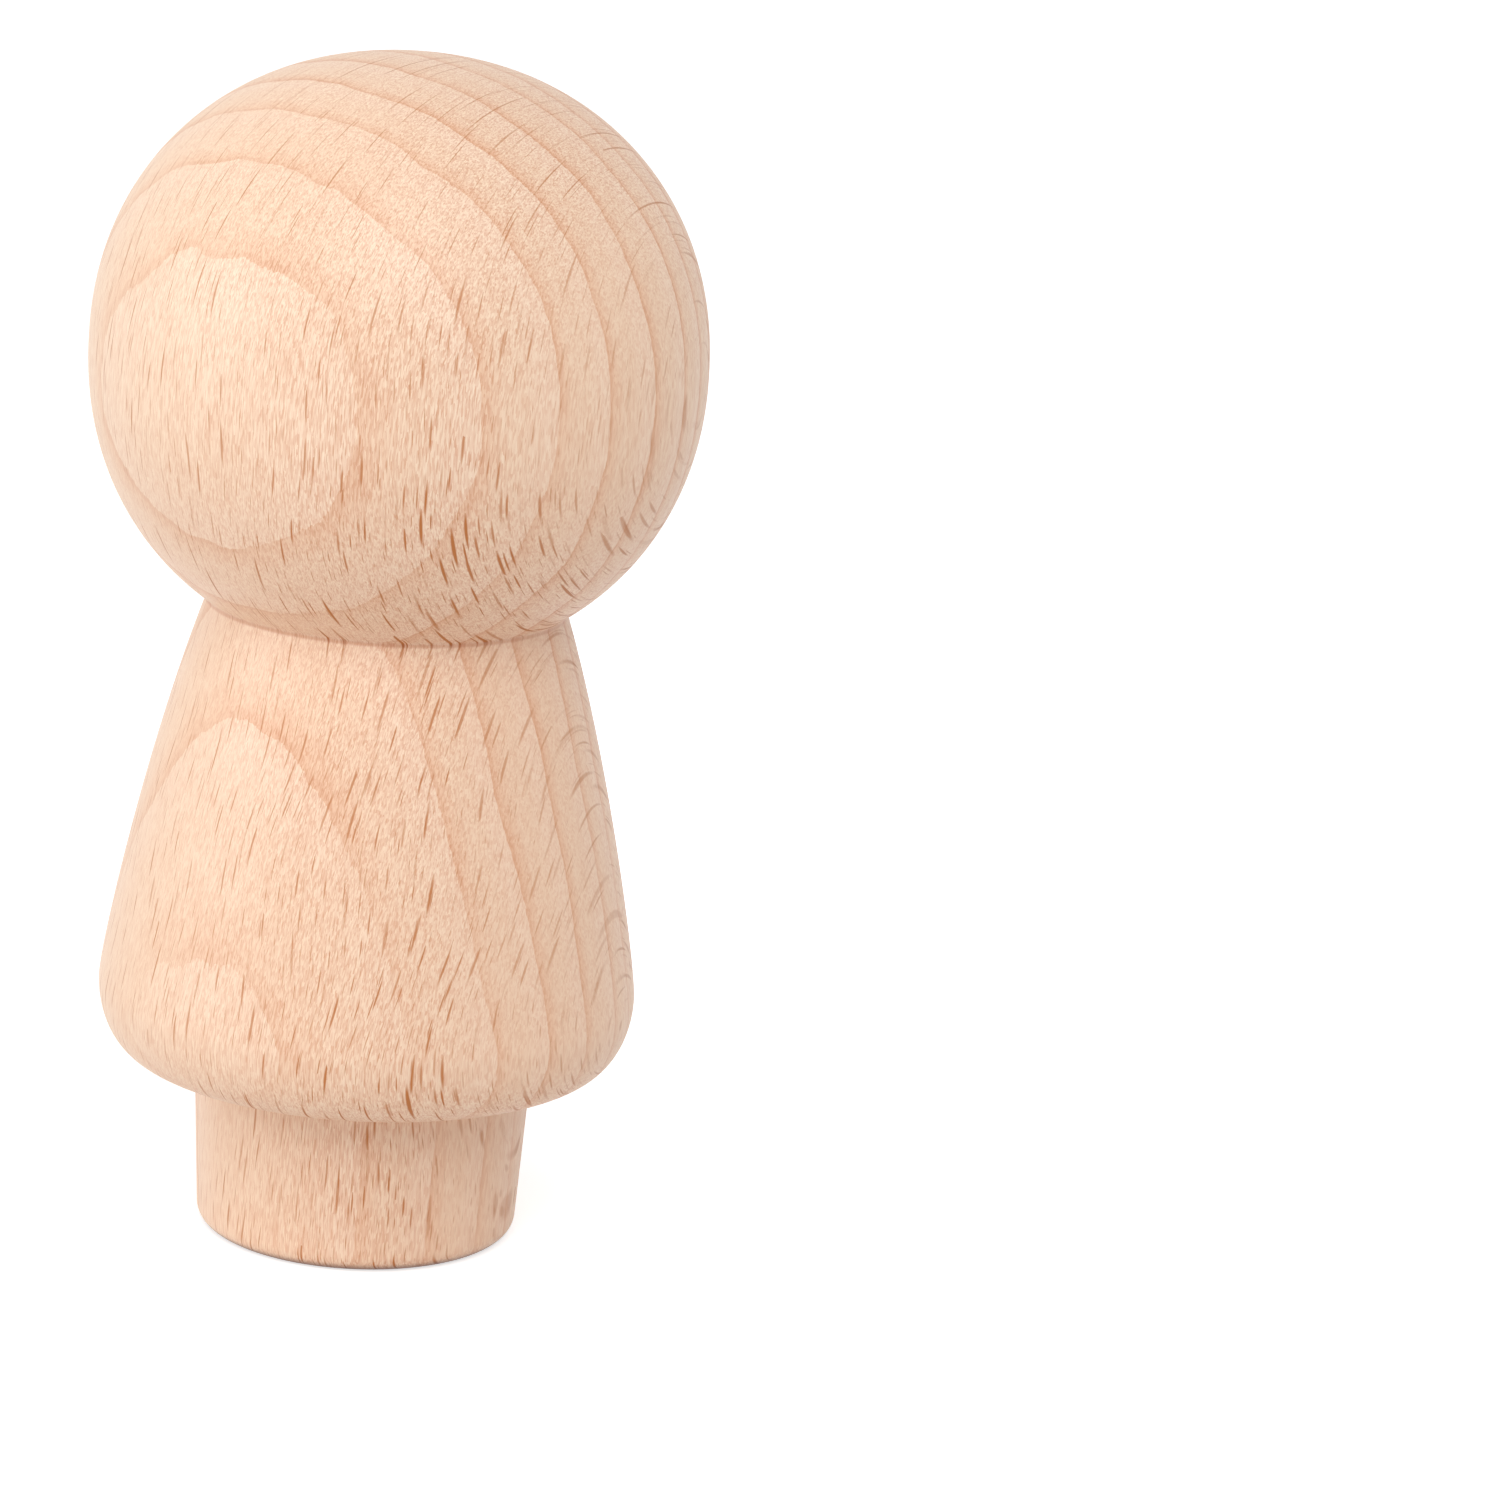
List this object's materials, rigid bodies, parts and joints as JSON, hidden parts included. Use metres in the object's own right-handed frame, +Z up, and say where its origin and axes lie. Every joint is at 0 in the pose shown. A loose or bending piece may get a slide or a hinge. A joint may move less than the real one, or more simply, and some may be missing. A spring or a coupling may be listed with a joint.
{
  "type": "peg doll",
  "caption": "Plain turned wooden peg doll: ball head on a flared dress with a rolled hem and a stepped round foot, in raw beech. Stands on a flat base.",
  "frame": {"origin": "centre of the foot's flat underside, where the doll stands", "axes": "+Z up along the turning axis, from the foot to the crown of the head; -Y is the side that the picture shows, and the body is round, so X and Y differ only in the grain"},
  "size_m": [0.045, 0.045, 0.0884],
  "materials": {
    "raw_beech": "turned and sanded, unfinished, low sheen"
  },
  "bodies": {
    "root": {"turned_doll": "raw_beech"}
  },
  "joints": []
}
